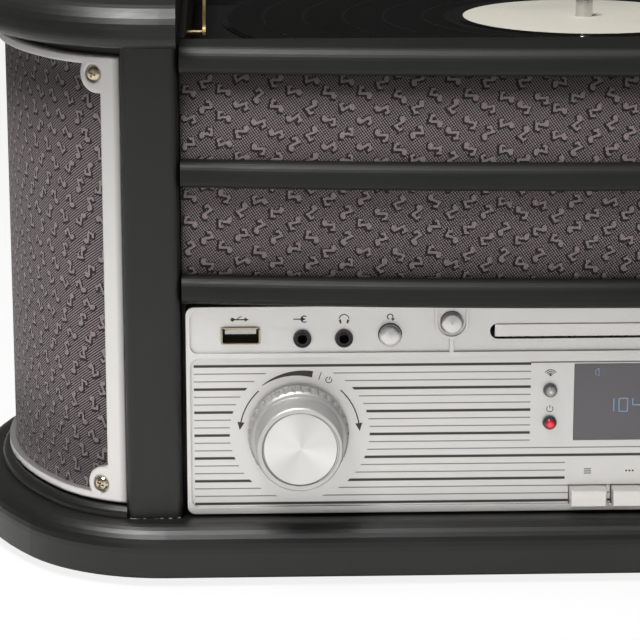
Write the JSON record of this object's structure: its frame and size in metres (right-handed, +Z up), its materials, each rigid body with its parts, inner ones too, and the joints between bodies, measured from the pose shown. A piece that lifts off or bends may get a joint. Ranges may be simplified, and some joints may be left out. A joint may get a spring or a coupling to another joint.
{
  "type": "stereo music centre",
  "caption": "Tabletop stereo music centre: dark wooden cabinet with rounded cloth-covered speaker pods, record deck under a hinged lid, and a silver control panel with disc slot.",
  "frame": {"origin": "middle of the cabinet's width, at the front face of the control panel, on the underside of the base board", "axes": "+X to the right as seen from the front, +Y to the back, +Z up"},
  "size_m": [0.5214, 0.3723, 0.517],
  "materials": {
    "black_wood": "satin black paint over wood",
    "silver_paint": "satin silver paint",
    "grille_cloth": "woven",
    "black_plastic": "matt",
    "black_rubber": "matt",
    "smoked_window": "gloss",
    "clear_lens": "gloss",
    "plated_steel": "plated",
    "brass": "satin",
    "circuit_board": "gloss",
    "record_black": "gloss",
    "arm_metal": "polished",
    "knob_metal": "brushed",
    "platter_metal": "satin"
  },
  "bodies": {
    "cabinet": {"base_board": "black_wood", "rubber_feet": "black_rubber", "carcass": "black_wood", "posts": "black_wood", "shoulders": "black_wood", "pod_baffles": "black_wood", "pod_cloth": "grille_cloth", "pod_frames": "silver_paint", "frame_screws": "brass", "speakers": "plated_steel", "grille_baffle": "black_wood", "grille_cloth": "grille_cloth", "grille_rails": "black_wood", "fascia": "silver_paint", "display_window": "smoked_window", "indicator_lenses": "clear_lens", "usb_socket": "plated_steel", "audio_jacks": "black_plastic", "control_board": "circuit_board", "disc_mechanism": "plated_steel", "main_board": "circuit_board", "mains_transformer": "plated_steel", "back_panel": "black_plastic", "rear_sockets": "black_plastic", "brass_fittings": "brass", "deck_plate": "black_plastic", "drive_motor": "plated_steel", "drive_belt": "black_rubber", "arm_support": "black_plastic"},
    "lid": {"lid_board": "black_wood", "lid_front_rail": "black_wood", "lid_hinge_leaves": "brass"},
    "stay": {"lid_stay": "brass"},
    "turntable": {"platter": "platter_metal", "platter_mat": "black_rubber", "spindle": "plated_steel", "record": "record_black"},
    "pulley": {"motor_pulley": "brass"},
    "arm_yoke": {"arm_gimbal": "plated_steel"},
    "arm": {"tonearm": "arm_metal", "cartridge": "black_plastic"},
    "cue_lever": {"cue_lever": "black_plastic"},
    "speed_switch": {"speed_switch": "black_plastic"},
    "volume_shaft": {"volume_shaft": "plated_steel"},
    "volume_knob": {"volume_knob": "knob_metal"},
    "tuning_shaft": {"tuning_shaft": "plated_steel"},
    "tuning_knob": {"tuning_knob": "knob_metal"},
    "disc_flap": {"disc_flap": "silver_paint"},
    "function_button": {"function_button": "silver_paint"},
    "left_tab_button": {"left_tab_button": "silver_paint"},
    "right_tab_button": {"right_tab_button": "silver_paint"},
    "push_key_1": {"push_key_1": "silver_paint"},
    "push_key_2": {"push_key_2": "silver_paint"},
    "push_key_3": {"push_key_3": "silver_paint"},
    "push_key_4": {"push_key_4": "silver_paint"},
    "push_key_5": {"push_key_5": "silver_paint"},
    "transport_1": {"transport_1": "silver_paint"},
    "transport_2": {"transport_2": "silver_paint"},
    "transport_3": {"transport_3": "silver_paint"},
    "transport_4": {"transport_4": "silver_paint"}
  },
  "joints": [
    {"name": "lid_hinge", "type": "hinge", "parent": "cabinet", "child": "lid", "pos_m": [0, 0.3395, 0.20375], "axis": [1, 0, 0], "range_deg": [0, 60]},
    {"name": "stay_pivot", "type": "hinge", "parent": "lid", "child": "stay", "pos_m": [-0.168, 0.28411, 0.27569], "axis": [1, 0, 0], "range_deg": [-83, 0]},
    {"name": "platter_spin", "type": "hinge", "parent": "cabinet", "child": "turntable", "pos_m": [-0.012, 0.1685, 0.1735], "axis": [0, 0, 1], "continuous": true},
    {"name": "pulley_spin", "type": "hinge", "parent": "cabinet", "child": "pulley", "pos_m": [-0.089, 0.1685, 0.165], "axis": [0, 0, 1], "continuous": true},
    {"name": "arm_swing", "type": "hinge", "parent": "cabinet", "child": "arm_yoke", "pos_m": [0.134, 0.262, 0.18], "axis": [0, 0, -1], "range_deg": [0, 44]},
    {"name": "arm_lift", "type": "hinge", "parent": "arm_yoke", "child": "arm", "pos_m": [0.134, 0.262, 0.189], "axis": [-0.9962, -0.0872, 0], "range_deg": [0, 2.5]},
    {"name": "cue_lever_pivot", "type": "hinge", "parent": "cabinet", "child": "cue_lever", "pos_m": [0.153, 0.235, 0.174], "axis": [1, 0, 0], "range_deg": [0, 40]},
    {"name": "speed_slide", "type": "slide", "parent": "cabinet", "child": "speed_switch", "axis": [0, 1, 0], "range_m": [0, 0.01]},
    {"name": "volume_push", "type": "slide", "parent": "cabinet", "child": "volume_shaft", "axis": [0, 1, 0], "range_m": [0, 0.0008], "stiffness_N_per_m": 500, "springref_m": -0.002},
    {"name": "volume_turn", "type": "hinge", "parent": "volume_shaft", "child": "volume_knob", "pos_m": [-0.1346, -0.0009, 0.0498], "axis": [0, 1, 0], "continuous": true},
    {"name": "tuning_push", "type": "slide", "parent": "cabinet", "child": "tuning_shaft", "axis": [0, 1, 0], "range_m": [0, 0.0008], "stiffness_N_per_m": 500, "springref_m": -0.002},
    {"name": "tuning_turn", "type": "hinge", "parent": "tuning_shaft", "child": "tuning_knob", "pos_m": [0.1346, -0.0009, 0.0498], "axis": [0, 1, 0], "continuous": true},
    {"name": "disc_flap_hinge", "type": "hinge", "parent": "cabinet", "child": "disc_flap", "pos_m": [0, 0.0043, 0.0912], "axis": [1, 0, 0], "range_deg": [0, 70], "stiffness_Nm_per_rad": 0.002, "springref_deg": -17.19},
    {"name": "function_button_press", "type": "slide", "parent": "cabinet", "child": "function_button", "axis": [0, 1, 0], "range_m": [0, 0.0009], "stiffness_N_per_m": 300, "springref_m": -0.002},
    {"name": "left_tab_button_press", "type": "slide", "parent": "cabinet", "child": "left_tab_button", "axis": [0, 1, 0], "range_m": [0, 0.0009], "stiffness_N_per_m": 300, "springref_m": -0.002},
    {"name": "right_tab_button_press", "type": "slide", "parent": "cabinet", "child": "right_tab_button", "axis": [0, 1, 0], "range_m": [0, 0.0009], "stiffness_N_per_m": 300, "springref_m": -0.002},
    {"name": "push_key_1_press", "type": "slide", "parent": "cabinet", "child": "push_key_1", "axis": [0, 1, 0], "range_m": [0, 0.0009], "stiffness_N_per_m": 300, "springref_m": -0.002},
    {"name": "push_key_2_press", "type": "slide", "parent": "cabinet", "child": "push_key_2", "axis": [0, 1, 0], "range_m": [0, 0.0009], "stiffness_N_per_m": 300, "springref_m": -0.002},
    {"name": "push_key_3_press", "type": "slide", "parent": "cabinet", "child": "push_key_3", "axis": [0, 1, 0], "range_m": [0, 0.0009], "stiffness_N_per_m": 300, "springref_m": -0.002},
    {"name": "push_key_4_press", "type": "slide", "parent": "cabinet", "child": "push_key_4", "axis": [0, 1, 0], "range_m": [0, 0.0009], "stiffness_N_per_m": 300, "springref_m": -0.002},
    {"name": "push_key_5_press", "type": "slide", "parent": "cabinet", "child": "push_key_5", "axis": [0, 1, 0], "range_m": [0, 0.0009], "stiffness_N_per_m": 300, "springref_m": -0.002},
    {"name": "transport_1_press", "type": "slide", "parent": "cabinet", "child": "transport_1", "axis": [0, 1, 0], "range_m": [0, 0.0009], "stiffness_N_per_m": 300, "springref_m": -0.002},
    {"name": "transport_2_press", "type": "slide", "parent": "cabinet", "child": "transport_2", "axis": [0, 1, 0], "range_m": [0, 0.0009], "stiffness_N_per_m": 300, "springref_m": -0.002},
    {"name": "transport_3_press", "type": "slide", "parent": "cabinet", "child": "transport_3", "axis": [0, 1, 0], "range_m": [0, 0.0009], "stiffness_N_per_m": 300, "springref_m": -0.002},
    {"name": "transport_4_press", "type": "slide", "parent": "cabinet", "child": "transport_4", "axis": [0, 1, 0], "range_m": [0, 0.0009], "stiffness_N_per_m": 300, "springref_m": -0.002}
  ],
  "couplings": [
    {"joint": "stay_pivot", "follows": "lid_hinge", "ratio": -1.3729},
    {"joint": "pulley_spin", "follows": "platter_spin", "ratio": 12}
  ]
}
